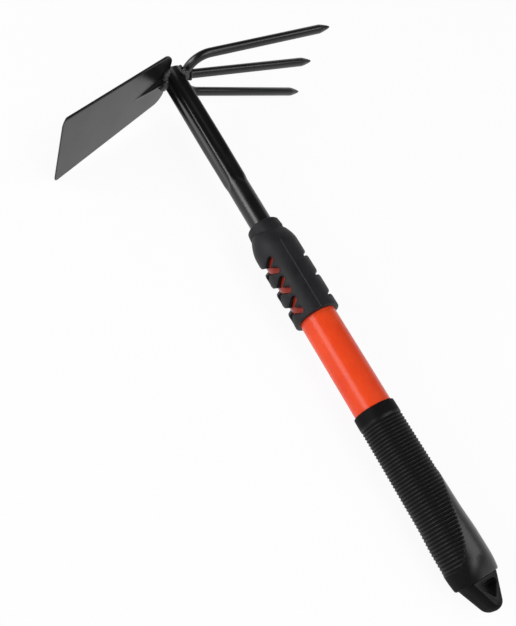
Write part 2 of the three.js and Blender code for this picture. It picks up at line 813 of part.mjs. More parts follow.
function lowestPoint(mesh) {
  const place = mesh.geometry.attributes.position;
  const lowest = new THREE.Vector3(0, 0, Infinity);
  const point = new THREE.Vector3();
  for (let i = 0; i < place.count; i += 1) {
    point.fromBufferAttribute(place, i).applyMatrix4(mesh.matrixWorld);
    if (point.z < lowest.z) lowest.copy(point);
  }
  return lowest;
}

function levelOn(feet) {
  tool.updateMatrixWorld(true);
  const [a, b, c] = feet.map(lowestPoint);
  const normal = b.sub(a).cross(c.sub(a)).normalize();
  if (normal.z < 0) normal.negate();
  tool.quaternion.premultiply(new THREE.Quaternion().setFromUnitVectors(normal, new THREE.Vector3(0, 0, 1)));
}

tool.rotation.set(-Math.PI / 2, 0, 0);
for (let pass = 0; pass < settlingPasses; pass += 1) levelOn([outerTines, blade, grip]);
tool.updateMatrixWorld(true);

// The origin is under the middle of the tool, on the surface that it lies on
const extent = new THREE.Box3().setFromObject(tool, true);
const middle = extent.getCenter(new THREE.Vector3());
tool.position.sub(new THREE.Vector3(middle.x, middle.y, extent.min.z));

const hoe = new THREE.Group();
hoe.add(tool);

export default hoe;
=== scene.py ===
from math import asin, atan, atan2, cos, hypot, pi, radians, sin, sqrt, tan

import bmesh
import bpy
import numpy as np
from mathutils import Matrix, Vector, noise


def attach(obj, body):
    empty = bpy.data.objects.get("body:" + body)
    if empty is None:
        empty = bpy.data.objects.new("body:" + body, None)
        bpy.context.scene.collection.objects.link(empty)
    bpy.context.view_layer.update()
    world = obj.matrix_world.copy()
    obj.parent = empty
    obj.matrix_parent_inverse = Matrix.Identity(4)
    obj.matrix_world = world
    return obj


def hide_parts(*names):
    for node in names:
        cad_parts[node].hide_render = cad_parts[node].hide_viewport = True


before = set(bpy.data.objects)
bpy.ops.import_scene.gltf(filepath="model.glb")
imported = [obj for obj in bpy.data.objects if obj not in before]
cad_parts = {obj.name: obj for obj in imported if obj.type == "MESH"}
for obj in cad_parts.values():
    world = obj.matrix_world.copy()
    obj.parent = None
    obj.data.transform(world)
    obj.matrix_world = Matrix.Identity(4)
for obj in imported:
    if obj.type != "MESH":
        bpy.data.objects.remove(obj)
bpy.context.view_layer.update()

# Pieces are drawn in millimetres on the upright tool: Z from the butt to the head, X toward the
# tines, Y toward the side that it lies on. toolPose is where that tool lies in the frame.
toolPose = {
    "butt": (-10.3892004, -195.5258156, 11.9631082),
    "towardTines": (0.9997275, -0.0005728, 0.0233348),
    "towardLowerSide": (0.0233347, 0.0493235, -0.9985102),
    "towardHead": (-0.0005790, 0.9987827, 0.0493234),
}
toolTurn = np.array([toolPose["towardTines"], toolPose["towardLowerSide"], toolPose["towardHead"]])


def layDown(points):
    return (np.asarray(points) @ toolTurn + toolPose["butt"]) / 1000


def ease(value, low, high):
    share = np.clip((value - low) / (high - low), 0, 1)
    return share * share * (3 - 2 * share)


def blend(low, high, share):
    return low + (high - low) * share


# Mesh making

def anglesRound(part):
    return np.arange(part["sides"]) / part["sides"] * 2 * pi


def levelRing(z, part, radiusAt):
    angles = anglesRound(part)
    radius = np.broadcast_to(radiusAt(angles), angles.shape)
    return np.stack([radius * np.cos(angles), radius * np.sin(angles), np.full_like(angles, z)], 1)


def revolve(profile, part):  # a round ring for each diameter and height
    return [levelRing(z, part, lambda a: diameter / 2) for diameter, z in profile]


def bandFaces(low, high, count):  # between two rings whose points start at these numbers
    return [(low + i, low + (i + 1) % count, high + (i + 1) % count, high + i) for i in range(count)]


def loftRings(rings, closed=False):  # closed: the last ring joins the first, as in a sleeve
    rings = np.asarray(rings)
    count, sides = rings.shape[:2]
    points = rings.reshape(-1, 3)
    faces = []
    for r in range(count if closed else count - 1):
        faces += bandFaces(r * sides, (r + 1) % count * sides, sides)
    if not closed:
        for first, ring in ((0, rings[0]), ((count - 1) * sides, rings[-1])):
            middle = len(points)
            points = np.vstack([points, ring.mean(0)])
            faces += [(middle, first + i, first + (i + 1) % sides) for i in range(sides)]
    return points, faces


def stripCapped(rings, along, turn):  # each ring: two sides of along points, two ends of turn points
    count = len(rings[0])
    last = (len(rings) - 1) * count
    faces = []
    for low in range(0, last, count):
        faces += bandFaces(low, low + count, count)
    for first in (0, last):
        near = [first + i for i in range(along)]
        far = [first + 2 * along + turn - 1 - i for i in range(along)]
        faces += [(near[i], near[i + 1], far[i + 1], far[i]) for i in range(along - 1)]
        faces.append((near[-1], *[first + along + i for i in range(turn)], far[-1]))
        faces.append((far[0], *[first + 2 * along + turn + i for i in range(turn)], near[0]))
    return np.vstack(rings), faces


def placeObject(name, data):
    made = bpy.data.objects.new(name, data)
    bpy.context.scene.collection.objects.link(made)
    return made


def objectFrom(name, shape):
    points, faces = shape
    mesh = bpy.data.meshes.new(name)
    mesh.from_pydata(layDown(points).tolist(), [], faces)
    work = bmesh.new()
    work.from_mesh(mesh)
    bmesh.ops.remove_doubles(work, verts=work.verts, dist=1e-7)
    bmesh.ops.recalc_face_normals(work, faces=work.faces)
    work.to_mesh(mesh)
    work.free()
    return placeObject(name, mesh)


def combine(piece, way, shapes):  # way: DIFFERENCE or UNION, with shapes in the tool's millimetres
    tools = [objectFrom("tool", shape) for shape in shapes]
    for tool in tools:
        step = piece.modifiers.new("step", "BOOLEAN")
        step.operation = way
        step.solver = "EXACT"
        step.object = tool
    view = bpy.context.evaluated_depsgraph_get()
    whole = piece.data
    piece.data = bpy.data.meshes.new_from_object(piece.evaluated_get(view))
    piece.modifiers.clear()
    for mesh in [whole] + [tool.data for tool in tools]:
        bpy.data.meshes.remove(mesh)


def dressPiece(piece, finish, nodes, part):
    piece.data.materials.clear()
    piece.data.materials.append(finishes[finish])
    piece.data.shade_smooth()
    piece.data.set_sharp_from_angle(angle=radians(part["sharpDegrees"]))
    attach(piece, "root")
    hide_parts(*nodes)


def markShare(piece, label, shareAt):  # shares from 0 to 1 over the piece, which its shader reads
    points = np.array([vertex.co for vertex in piece.data.vertices]) * 1000 - toolPose["butt"]
    x, y, z = (points @ toolTurn.T).T
    shares = piece.data.attributes.new(label, "FLOAT", "POINT")
    shares.data.foreach_set("value", shareAt(x, y, z))


# Shader groups that several materials use

def startGroup(name, inputs, outputs):
    group = bpy.data.node_groups.new(name, "ShaderNodeTree")
    socket = group.interface.new_socket
    for label, value in inputs.items():
        socket(label, in_out="INPUT", socket_type="NodeSocketFloat").default_value = value
    for label in outputs:
        socket(label, in_out="OUTPUT", socket_type="NodeSocketFloat")
    return group, group.nodes.new("NodeGroupInput"), group.nodes.new("NodeGroupOutput")


def addNode(tree, kind, settings=None, **values):
    node = tree.nodes.new("ShaderNode" + kind)
    for label, value in (settings or {}).items():
        setattr(node, label, value)
    for label, value in values.items():
        node.inputs[label.replace("_", " ")].default_value = value
    return node


def addMath(tree, operation, second=0):
    node = addNode(tree, "Math", {"operation": operation})
    node.inputs[1].default_value = second
    return node


def wire(tree, *joints):  # each joint: a node and its output, then the next node and its input
    for source, output, target, entry in joints:
        tree.links.new(source.outputs[output], target.inputs[entry])


def addPatches(tree, place, output, low, high, **settings):  # a mask between two levels of noise
    source = addNode(tree, "TexNoise", **settings)
    mask = addNode(tree, "MapRange", From_Min=low, From_Max=high)
    wire(tree, (place, output, source, "Vector"), (source, "Fac", mask, "Value"))
    return source, mask


def makeMouldedGrain():  # fine grain height, and a slow mottle of tone over centimetres
    group, given, result = startGroup("mouldedGrain", {"Scale": 3000, "Detail": 3, "Mottle Scale": 60},
                                      ["Height", "Mottle"])
    place = addNode(group, "TexCoord")
    grain = addNode(group, "TexNoise", Roughness=0.6)
    mottle, spread = addPatches(group, place, "Object", 0.3, 0.7, Detail=4, Roughness=0.55)
    wire(group, (place, "Object", grain, "Vector"), (given, "Scale", grain, "Scale"),
         (given, "Detail", grain, "Detail"), (given, "Mottle Scale", mottle, "Scale"),
         (grain, "Fac", result, "Height"), (spread, "Result", result, "Mottle"))
    return group


def makeHandlingMarks():  # hairline rubs that run along the tool, broken into short strokes
    group, given, result = startGroup("handlingMarks", {"Scale": 900, "Amount": 0.5}, ["Mask"])
    place = addNode(group, "TexCoord")
    stretch = addNode(group, "Mapping", Scale=(1, 0.06, 1))
    strokes, thin = addPatches(group, stretch, "Vector", 0.62, 0.7,
                               Detail=2, Roughness=0.5, Distortion=0.4)
    broken = addPatches(group, place, "Object", 0.48, 0.62, Scale=70, Detail=2)[1]
    both = addMath(group, "MULTIPLY")
    share = addMath(group, "MULTIPLY")
    wire(group, (place, "Object", stretch, "Vector"), (given, "Scale", strokes, "Scale"),
         (thin, "Result", both, 0), (broken, "Result", both, 1), (both, 0, share, 0),
         (given, "Amount", share, 1), (share, 0, result, "Mask"))
    return group


def makeEdgeMask():  # where edges stand out, a little of the surface takes a lighter edge tone: wear, and on the black rubber's rib crests partly a painted highlight
    group, given, result = startGroup("edgeMask", {"Start": 0.53, "Full": 0.62, "Breakup": 400},
                                      ["Mask"])
    shape = addNode(group, "NewGeometry")
    place = addNode(group, "TexCoord")
    edge = addNode(group, "MapRange")
    patches, broken = addPatches(group, place, "Object", 0.4, 0.6, Detail=3)
    both = addMath(group, "MULTIPLY")
    wire(group, (shape, "Pointiness", edge, "Value"), (given, "Start", edge, "From Min"),
         (given, "Full", edge, "From Max"), (given, "Breakup", patches, "Scale"),
         (edge, "Result", both, 0), (broken, "Result", both, 1), (both, 0, result, "Mask"))
    return group


groups = {"grain": makeMouldedGrain(), "marks": makeHandlingMarks(), "edges": makeEdgeMask()}


def writtenColour(screen):  # screen values from 0 to 255, as a shader's colour
    parts = [value / 255 for value in screen]
    return tuple(p / 12.92 if p <= 0.04045 else ((p + 0.055) / 1.055) ** 2.4 for p in parts) + (1,)


def makeFinish(name, look):
    material = bpy.data.materials.new(name)
    material.use_nodes = True
    tree = material.node_tree
    surface = tree.nodes["Principled BSDF"]
    for label, value in look["shader"].items():
        surface.inputs[label].default_value = value
    grain, marks, edges = (addNode(tree, "Group", {"node_tree": group}, **look[label])
                           for label, group in groups.items())
    tone = addNode(tree, "Mix", {"data_type": "RGBA"},
                   A=writtenColour(look["deep"]), B=writtenColour(look["light"]))
    colour = addNode(tree, "Mix", {"data_type": "RGBA"}, B=writtenColour(look["edgeTone"]))
    gloss = addNode(tree, "MapRange", To_Min=look["roughness"][0], To_Max=look["roughness"][1])
    roughness = addMath(tree, "MULTIPLY_ADD", look["marked"])
    relief = addNode(tree, "Bump", Strength=look["bump"][0], Distance=look["bump"][1])
    wire(tree, (grain, "Mottle", tone, "Factor"), (tone, "Result", colour, "A"),
         (edges, "Mask", colour, "Factor"), (grain, "Mottle", gloss, "Value"),
         (marks, "Mask", roughness, 0), (gloss, "Result", roughness, 2),
         (grain, "Height", relief, "Height"), (relief, "Normal", surface, "Normal"))
    if "paintedShade" in look:  # painted shade: a darker tone where the core lies in the collar's windows, as a share on the piece's points
        unshaded = colour
        field = addNode(tree, "Attribute", {"attribute_name": "paintedShade"})
        colour = addNode(tree, "Mix", {"data_type": "RGBA"}, B=writtenColour(look["paintedShade"]))
        wire(tree, (field, "Fac", colour, "Factor"), (unshaded, "Result", colour, "A"))
    if "polishing" in look:  # polish from the mould or from use, stored likewise
        dull = roughness
        field = addNode(tree, "Attribute", {"attribute_name": "polished"})
        roughness = addMath(tree, "MULTIPLY_ADD", -look["polishing"])
        wire(tree, (field, "Fac", roughness, 0), (dull, 0, roughness, 2),
             (field, "Fac", surface, "Coat Weight"))
    wire(tree, (colour, "Result", surface, "Base Color"), (roughness, 0, surface, "Roughness"))
    return material


rubberTexture = {
    "grain": {"Scale": 4200, "Detail": 3, "Mottle_Scale": 70},
    "marks": {"Scale": 1100, "Amount": 0.3},
    "edges": {"Start": 0.53, "Full": 0.64, "Breakup": 500},
}
# deep and light are the ends of the mottle, marked is the roughness that handling marks add, and bump
# holds a strength and a height in metres
finishLooks = {
    "blackPaint": {
        "deep": (7, 7, 8), "light": (13, 13, 14), "edgeTone": (34, 34, 36),
        "roughness": (0.27, 0.34), "marked": 0.14, "bump": (0.015, 0.0002),
        "shader": {"IOR": 1.5},
        "grain": {"Scale": 320, "Detail": 2, "Mottle_Scale": 45},
        "marks": {"Scale": 1300, "Amount": 0.35},
        "edges": {"Start": 0.56, "Full": 0.7, "Breakup": 500},
    },
    "weldPaint": {
        "deep": (22, 22, 23), "light": (56, 56, 58), "edgeTone": (96, 96, 98),
        "roughness": (0.3, 0.5), "marked": 0.1, "bump": (0.3, 0.0004),
        "shader": {"IOR": 1.5},
        "grain": {"Scale": 1500, "Detail": 4, "Mottle_Scale": 260},
        "marks": {"Scale": 1300, "Amount": 0.2},
        "edges": {"Start": 0.52, "Full": 0.6, "Breakup": 700},
    },
    "orangePlastic": {
        "deep": (212, 60, 25), "light": (221, 71, 31), "edgeTone": (230, 104, 70),
        # painted shade: the darker red of the core under the collar, for the shade in its windows
        "paintedShade": (132, 35, 18),
        "roughness": (0.22, 0.28), "marked": 0.15, "bump": (0.02, 0.0002),
        "shader": {"IOR": 1.5, "Specular IOR Level": 0.22,
                   "Subsurface Weight": 0.05, "Subsurface Scale": 0.002},
        "grain": {"Scale": 500, "Detail": 2, "Mottle_Scale": 60},
        "marks": {"Scale": 1500, "Amount": 0.3},
        "edges": {"Start": 0.56, "Full": 0.7, "Breakup": 500},
    },
    "charcoalRubber": {
        "deep": (17, 17, 19), "light": (26, 26, 29), "edgeTone": (52, 52, 55),
        "roughness": (0.48, 0.62), "marked": 0.1, "bump": (0.3, 0.00022),
        "shader": {"IOR": 1.45, "Specular IOR Level": 0.28},
        **rubberTexture,
    },
    "blackRubber": {
        # painted highlight in part: the light edge tone on the rib crests stands partly for wear and
        # partly for the light that the crests catch
        "deep": (5, 5, 6), "light": (9, 9, 10), "edgeTone": (38, 38, 39),
        "roughness": (0.58, 0.66), "marked": 0.1, "bump": (0.2, 0.0002),
        "polishing": 0.2,
        "shader": {"IOR": 1.45, "Specular IOR Level": 0.12, "Coat IOR": 1.42, "Coat Roughness": 0.36},
        **rubberTexture,
    },
    "blackNylon": {
        "deep": (7, 7, 8), "light": (12, 12, 13), "edgeTone": (30, 30, 32),
        "roughness": (0.6, 0.72), "marked": 0.12, "bump": (0.22, 0.0002),
        "polishing": 0.2,
        "shader": {"IOR": 1.5, "Specular IOR Level": 0.08, "Coat IOR": 1.2, "Coat Roughness": 0.4},
        "grain": {"Scale": 5200, "Detail": 2, "Mottle_Scale": 80},
        "marks": {"Scale": 1400, "Amount": 0.4},
        "edges": {"Start": 0.57, "Full": 0.68, "Breakup": 600},
    },
}
finishes = {name: makeFinish(name, look) for name, look in finishLooks.items()}
print("finishes made:", len(finishes))

# Shaft: round in the handle, pressed into four flutes toward the head, with a domed closed end

shaft = {
    "diameter": 14.65,
    "wall": 1.2,
    "bottom": 136.5,
    "top": 388.5,
    "flutes": 4,
    "flutedDiameter": 14.4,
    "flutesStart": 290.5,
    "flutesFull": 328.5,
    "fluteRunOut": 6,
    "runOutShares": (0.7, 0.3),  # of the run-out, below and above a flute's start
    "fluteEndArch": 3.2,  # how much further down a flute runs along its middle
    "fluteStartShare": 0.09,
    "fluteFullShare": 0.13,
    "domeRise": 1.2,
    "domeTopShare": 0.12,  # how wide the dome still is at its top
    "boreTopShare": 0.82,  # how wide the bore still is at its closed end
    "plainRings": (240, 270),
    "startSpan": (-10, 4),  # round the flutes' start, where the rings lie close together
    "startRings": 29,
    "flutedFrom": 6,  # above the flutes' start, from where on the rings lie further apart
    "flutedRings": 12,
    "topRings": (20, -10),  # from where the flutes are full, and from the top
    "domeRings": 9,
    "sides": 128,
    "sharpDegrees": 40,
}


def shaftRadius(z, angle):
    wave = np.cos(shaft["flutes"] * angle)
    start = shaft["flutesStart"] - shaft["fluteEndArch"] * (0.5 + 0.5 * wave)
    below, above = (shaft["fluteRunOut"] * share for share in shaft["runOutShares"])
    pressed = ease(z, start - below, start + above)
    depth = blend(shaft["fluteStartShare"], shaft["fluteFullShare"],
                  ease(z, shaft["flutesStart"], shaft["flutesFull"]))
    mean = blend(shaft["diameter"], shaft["flutedDiameter"], pressed) / 2
    return mean * (1 - pressed * depth * wave)


def shaftOutside(grow):
    start, full, top = shaft["flutesStart"], shaft["flutesFull"], shaft["top"]
    low, high = (start + offset for offset in shaft["startSpan"])
    heights = [shaft["bottom"], *shaft["plainRings"], *np.linspace(low, high, shaft["startRings"]),
               *np.linspace(start + shaft["flutedFrom"], full, shaft["flutedRings"]),
               full + shaft["topRings"][0], top + shaft["topRings"][1], top]
    rings = [levelRing(z, shaft, lambda a: shaftRadius(z, a) + grow) for z in heights]
    for turn in np.linspace(0, pi / 2, shaft["domeRings"])[1:-1]:
        wide = blend(shaft["domeTopShare"], 1, cos(turn))
        z = top + shaft["domeRise"] * sin(turn) + grow
        rings.append(levelRing(z, shaft, lambda a: (shaftRadius(top, a) + grow) * wide))
    return rings


def makeShaftTube():
    bore = shaft["diameter"] - 2 * shaft["wall"]
    inside = [(bore * shaft["boreTopShare"], shaft["top"] - shaft["wall"]), (bore, shaft["bottom"])]
    piece = objectFrom("shaftTube", loftRings(revolve(inside, shaft) + shaftOutside(0)))
    dressPiece(piece, "blackPaint", ["shaft_tube"], shaft)


# Blade: a sheet with rounded rims, a ground edge, and a rib pressed toward the handle

blade = {
    "length": 109,
    "thickness": 1.8,
    "edgeWidth": 53,
    "rootWidth": 41.2,
    "rootRadius": 9,
    "tipRadius": 3.4,
    "droopDegrees": 26.8,
    "seat": (-3, 385.4),  # where its root meets the shaft's axis plane, across and up
    "bevelLength": 5,
    "edgeThickness": 0.6,
    "rimRounding": 0.6,
    "ribLength": 36,
    "ribRootWidth": 11,
    "ribTipWidth": 3.4,
    "ribHeight": 2.6,
    "acrossPoints": 101,
    "crowding": 1.25,  # above 1, the points across lie closer together at the rib
    "rimPoints": 7,
    "rimSections": (0, 0.15, 0.5, 1),  # shares of the rim's rounding, at both ends of the blade
    "closeLength": 3,  # from the root, where the sections lie closest
    "sectionCounts": (11, 9, 29, 13, 5, 13),  # from the rim at the root to the rim at the edge
    "notchGap": 0.05,
    "sharpDegrees": 40,
}


def bladeToTool(x, y, z):
    droop = radians(blade["droopDegrees"])
    across, up = blade["seat"]
    return np.stack([across - x * cos(droop) - z * sin(droop), -y,
                     up - x * sin(droop) + z * cos(droop)], -1)


def cornerLoss(radius, distance):
    inside = np.clip(radius - distance, 0, radius)
    return radius - np.sqrt(radius ** 2 - inside ** 2)


def ribRise(x, y):
    run = np.clip(x / blade["ribLength"], 0, 1)
    half = blend(blade["ribRootWidth"], blade["ribTipWidth"], run) / 2
    return blade["ribHeight"] * np.cos(run * pi / 2) * (1 - ease(np.abs(y), 0, half))


def bladeStation(x):
    length, soft = blade["length"], blade["rimRounding"]
    bevel = ease(x, length - blade["bevelLength"], length)
    shrink = cornerLoss(soft, min(x, length - x))
    low, high = shrink, blend(blade["thickness"], blade["edgeThickness"], bevel) - shrink
    half = blend(blade["rootWidth"], blade["edgeWidth"], x / length) / 2
    half -= cornerLoss(blade["rootRadius"], x) + cornerLoss(blade["tipRadius"], length - x)
    spread = np.linspace(-1, 1, blade["acrossPoints"])
    flat = (half - soft) * np.sign(spread) * np.abs(spread) ** blade["crowding"]
    turns = np.linspace(0, pi, blade["rimPoints"] + 2)[1:-1]
    rim = min(soft, (high - low) / 2)
    middle, reach = (low + high) / 2, (high - low) / 2 - rim
    rimY = half - soft + soft * np.sin(turns)
    rimZ = middle - np.cos(turns) * rim - np.sign(np.cos(turns)) * reach
    y = np.concatenate([flat, rimY, flat[::-1], -rimY])
    z = np.concatenate([np.full_like(flat, low), rimZ, np.full_like(flat, high), rimZ[::-1]])
    return bladeToTool(np.full_like(y, x), y, z - ribRise(x, y))


def makeHoeBlade():
    length, soft = blade["length"], blade["rimRounding"]
    breaks = [soft, blade["closeLength"], blade["rootRadius"], blade["ribLength"],
              length - blade["bevelLength"], length - blade["tipRadius"], length - soft]
    sections = [soft * share for share in blade["rimSections"]]
    for low, high, count in zip(breaks, breaks[1:], blade["sectionCounts"]):
        sections += list(np.linspace(low, high, count + 1)[1:])
    sections += [length - soft * share for share in blade["rimSections"][-2::-1]]
    shape = stripCapped([bladeStation(x) for x in sections], blade["acrossPoints"], blade["rimPoints"])
    piece = objectFrom("hoeBlade", shape)
    combine(piece, "DIFFERENCE", [loftRings(shaftOutside(blade["notchGap"]))])
    dressPiece(piece, "blackPaint", ["hoe_blade"], blade)


# Tines: one rod bent into a bow makes the outer pair, and a straight one butts on its middle

tines = {
    "rodDiameter": 6.36,
    "bowRadius": 18,
    "bowRootX": 10.1346,
    "outerReach": 121.45,
    "middleReach": 119,
    "spreadDegrees": 8.2,
    "droopDegrees": 1.15,
    "seatHeight": 386.15,
    "pointLength": 8.5,
    "pointDiameter": 1.5,
    "pointRun": (0, 0.3, 0.8, 0.95, 1),  # shares of the point's length
    "pointFull": (1, 0.8, 0.29, 0.08, 0),  # how full the point still is at each of them
    "tipRoundness": 0.7,
    "facetPower": 3.4,  # 2 keeps the point round, more flattens its four ground sides
    "pointSteps": 26,
    "tipSteps": 7,
    "bendSteps": 73,
    "jointGap": 0.05,
    "sides": 48,
    "sharpDegrees": 50,
}


def tineToTool(points):
    droop = radians(tines["droopDegrees"])
    x, y, z = np.asarray(points).T
    return np.stack([x * cos(droop) + z * sin(droop), y,
                     tines["seatHeight"] - x * sin(droop) + z * cos(droop)], 1)


def rodRing(x, y, heading, radius, power=2.0):
    angles = anglesRound(tines)
    square = (np.abs(np.cos(angles)) ** power + np.abs(np.sin(angles)) ** power) ** (-1 / power)
    aside, up = radius * square * np.cos(angles), radius * square * np.sin(angles)
    return np.stack([x - aside * sin(heading), y + aside * cos(heading), up], 1)


def pointRings(tipX, tipY, heading):
    end = tines["pointDiameter"] / 2
    dome = end * tines["tipRoundness"]
    shapes = []  # how far back from the tip, radius and squareness of each ring
    for run in np.linspace(0, 1, tines["pointSteps"]):
        full = np.interp(run, tines["pointRun"], tines["pointFull"])
        power = blend(2, tines["facetPower"], sin(pi * run))
        radius = blend(end, tines["rodDiameter"] / 2, full) * 2 ** (1 / power - 0.5)
        shapes.append((dome + tines["pointLength"] * (1 - run), radius, power))
    for turn in np.linspace(0, pi / 2, tines["tipSteps"])[1:-1]:
        shapes.append((dome * (1 - sin(turn)), end * cos(turn), 2))
    return [rodRing(tipX - back * cos(heading), tipY - back * sin(heading), heading, radius, power)
            for back, radius, power in shapes]


def bowRings():
    spread = radians(tines["spreadDegrees"])
    sweep, radius = pi / 2 - spread, tines["bowRadius"]
    centreX = tines["bowRootX"] + radius
    bend = [rodRing(centreX - radius * cos(t), radius * sin(t), pi / 2 - t, tines["rodDiameter"] / 2)
            for t in np.linspace(-sweep, sweep, tines["bendSteps"])]
    endX = centreX - radius * cos(sweep)
    tipY = radius * sin(sweep) + (tines["outerReach"] - endX) * tan(spread)
    near = pointRings(tines["outerReach"], -tipY, -spread)
    turned = [np.roll(ring[::-1], tines["sides"] // 2 + 1, axis=0) for ring in near[::-1]]
    return turned + bend + pointRings(tines["outerReach"], tipY, spread)


def middleRings():
    radius = tines["rodDiameter"] / 2
    saddle = rodRing(tines["bowRootX"], 0, 0, radius)  # coped to lie round the bow
    saddle[:, 0] += np.sqrt(np.clip(radius ** 2 - saddle[:, 2] ** 2, 0, None)) + tines["jointGap"]
    return [saddle] + pointRings(tines["middleReach"], 0, 0)


def makeTines(name, node, rings):
    points, faces = loftRings(rings)
    piece = objectFrom(name, (tineToTool(points), faces))
    dressPiece(piece, "blackPaint", [node], tines)


# Weld beads: rippled cords laid along each corner, sunk a little into the steel

welds = {
    "rippleHeight": 0.26,
    "ripplePitch": 2.6,
    "ripplePower": 0.6,  # the lower, the fuller the ripples and the sharper the creases
    "roughness": 0.16,  # mm of uneven surface
    "roughnessScale": 0.8,
    "overlap": 0.5,  # share of a bead's radius that is sunk in
    "endTaper": 0.62,
    "endTaperPower": 5,
    "blade": {"diameter": 4.8, "spreadDegrees": 124},
    "bowUnder": {"diameter": 4.8, "spreadDegrees": 140, "drop": 2.6},
    "bowOver": {"diameter": 3.2, "spreadDegrees": 76, "drop": 0},
    "middle": {"diameter": 1.5, "gap": 0.3},
    "pathPoints": 61,
    "ringPoints": 49,
    "stepsPerRipple": 14,
    "sides": 24,
    "sharpDegrees": 60,
}


def standOff(bead):  # from the steel to the bead's middle
    return bead["diameter"] / 2 * (1 - welds["overlap"])


def beadAlong(path, diameter, closed=False):
    path = np.asarray(path)
    hops = np.linalg.norm(np.diff(path, axis=0), axis=1)
    reach = np.concatenate([[0], np.cumsum(hops)])
    ripples = max(round(reach[-1] / welds["ripplePitch"]), 1)
    count = ripples * welds["stepsPerRipple"]
    places = np.linspace(0, 1, count + 1)[:-1 if closed else None]
    at = np.stack([np.interp(places * reach[-1], reach, path[:, k]) for k in range(3)], 1)
    run = np.roll(at, -1, 0) - np.roll(at, 1, 0) if closed else np.gradient(at, axis=0)
    run /= np.linalg.norm(run, axis=1)[:, None]
    middle = path[:-1].mean(0) if closed else np.array([0, 0, at[:, 2].mean()])
    turns = anglesRound(welds)
    rings = []
    for place, centre, along in zip(places, at, run):
        out = centre - middle
        out -= along * (out @ along)
        out /= np.linalg.norm(out)
        side = np.cross(along, out)
        scallop = abs(sin(place * ripples * pi)) ** welds["ripplePower"] * 2 - 1
        ending = 0 if closed else welds["endTaper"] * abs(2 * place - 1) ** welds["endTaperPower"]
        radius = (diameter / 2 + welds["rippleHeight"] * scallop) * (1 - ending)
        ring = centre + radius * (np.cos(turns)[:, None] * out + np.sin(turns)[:, None] * side)
        rough = [noise.noise((point * welds["roughnessScale"]).tolist()) for point in ring]
        rings.append(ring + (ring - centre) / radius * np.array(rough)[:, None] * welds["roughness"])
    return loftRings(rings, closed)


def roundShaft(middleAngle, bead, heightAt):
    path = []
    for swing in np.linspace(-1, 1, welds["pathPoints"]):
        angle = middleAngle + swing * radians(bead["spreadDegrees"]) / 2
        radius = float(shaftRadius(shaft["top"], angle)) + standOff(bead)
        x, y = radius * cos(angle), radius * sin(angle)
        path.append((x, y, heightAt(x, y, swing)))
    return beadAlong(path, bead["diameter"])


def bladeHeight(x, y, offset):
    droop = radians(blade["droopDegrees"])
    fromRoot = blade["seat"][0] - x
    lift = offset - float(ribRise(fromRoot / cos(droop), y))
    return blade["seat"][1] - fromRoot * tan(droop) + lift / cos(droop)


def makeWeld(name, node, shape):
    dressPiece(objectFrom(name, shape), "weldPaint", [node], welds)


def makeWelds():
    bead, rod = welds["blade"], tines["rodDiameter"] / 2
    for name, node, offset in (
        ("bladeWeldUnder", "blade_weld_under", -standOff(bead)),
        ("bladeWeldOver", "blade_weld_over", blade["thickness"] + standOff(bead)),
    ):
        makeWeld(name, node, roundShaft(pi, bead, lambda x, y, swing: bladeHeight(x, y, offset)))
    for name, node, bead, side in (
        ("bowWeldUnder", "bow_weld_under", welds["bowUnder"], -1),
        ("bowWeldOver", "bow_weld_over", welds["bowOver"], 1),
    ):
        offset = side * sqrt((rod + standOff(bead)) ** 2 - (rod - standOff(bead)) ** 2)
        height, drop = tines["seatHeight"] + offset, bead["drop"]
        makeWeld(name, node, roundShaft(0, bead, lambda x, y, swing: height - drop * swing ** 2))
    bead = welds["middle"]
    turns = np.linspace(0, 2 * pi, welds["ringPoints"])
    reach = rod + standOff(bead)
    x = np.full_like(turns, tines["bowRootX"] + rod + bead["gap"] + standOff(bead))
    ring = tineToTool(np.stack([x, reach * np.cos(turns), reach * np.sin(turns)], 1))
    makeWeld("middleTineWeld", "middle_tine_weld", beadAlong(ring, bead["diameter"], closed=True))


# Handle core: a moulded sleeve that shows between the two soft grips and through the windows

core = {
    "diameter": 23,
    "gripDiameter": 21.4,
    "noseDiameter": 17.6,
    "rear": 26.6,
    "gripFront": 120,
    "paintedShadeFrom": (184, 185.5),  # under the collar, where only its windows show the core; from here on the core is painted darker for the shade there
    "taperBase": 233,
    "noseBase": 242,
    "front": 250,
    "rearChamfer": 0.4,
    "stepChamfer": 0.2,
    "shaftBore": 15.25,
    "shaftStop": 136.2,
    "spigotBore": 12.6,
    "seatPlay": 0.3,  # between the core and the soft grips over it, across
    "sides": 128,
    "sharpDegrees": 40,
}


def makeHandleCore():
    wide, narrow, step = core["diameter"], core["gripDiameter"], core["stepChamfer"]
    profile = [
        (core["spigotBore"], core["rear"]),
        (narrow - 2 * core["rearChamfer"], core["rear"]),
        (narrow, core["rear"] + core["rearChamfer"]),
        (narrow, core["gripFront"]),
        (wide - 2 * step, core["gripFront"]),
        (wide, core["gripFront"] + step),
        *[(wide, z) for z in core["paintedShadeFrom"]],
        (wide, core["taperBase"]),
        (core["noseDiameter"], core["noseBase"]),
        (core["noseDiameter"], core["front"]),
        (core["shaftBore"], core["front"]),
        (core["shaftBore"], core["shaftStop"]),
        (core["spigotBore"], core["shaftStop"]),
    ]
    piece = objectFrom("handleCore", loftRings(revolve(profile, core), closed=True))
    # painted shade: from under the collar's rear on, the core takes the darker tone for the shade in
    # the windows
    markShare(piece, "paintedShade", lambda x, y, z: ease(z, *core["paintedShadeFrom"]))
    dressPiece(piece, "orangePlastic", ["handle_core"], core)


# Front collar: raised arches at the shoulder, crossed windows over the blade side, and chevron
# grooves over the tine side

